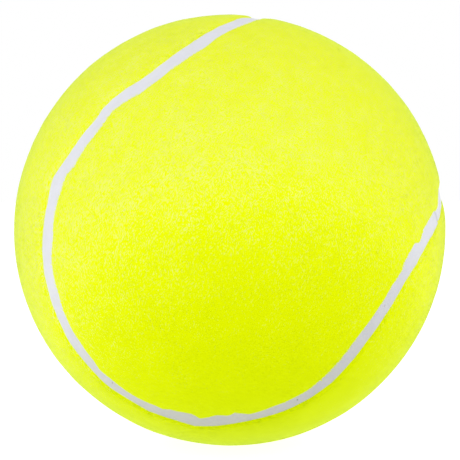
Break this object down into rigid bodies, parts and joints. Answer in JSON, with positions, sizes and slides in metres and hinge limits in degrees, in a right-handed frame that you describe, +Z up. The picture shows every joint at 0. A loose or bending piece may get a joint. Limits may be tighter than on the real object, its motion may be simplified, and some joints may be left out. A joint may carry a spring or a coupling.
{
  "type": "tennis ball",
  "caption": "Hollow rubber ball covered in bright yellow-green felt, with a pale rubber seam that curves between two interlocking panels.",
  "frame": {"origin": "the ball's centre", "axes": "+Z up as the ball lies in the picture, -Y towards the camera, so that the end of one felt panel faces -Y. The seam's own axis lies in the XZ plane, leaning 42 degrees from +Z towards +X"},
  "size_m": [0.067, 0.067, 0.067],
  "materials": {
    "core_rubber": "matt moulded rubber",
    "rubber_cement": "dull cured cement",
    "felt": "short raised nap with a soft pale sheen",
    "seam_rubber": "matt, slightly uneven"
  },
  "bodies": {
    "root": {"core_half_upper": "core_rubber", "core_half_lower": "core_rubber", "core_joint": "rubber_cement", "cover_cement": "rubber_cement", "felt_panel_1": "felt", "felt_panel_2": "felt", "seam": "seam_rubber"}
  },
  "joints": []
}
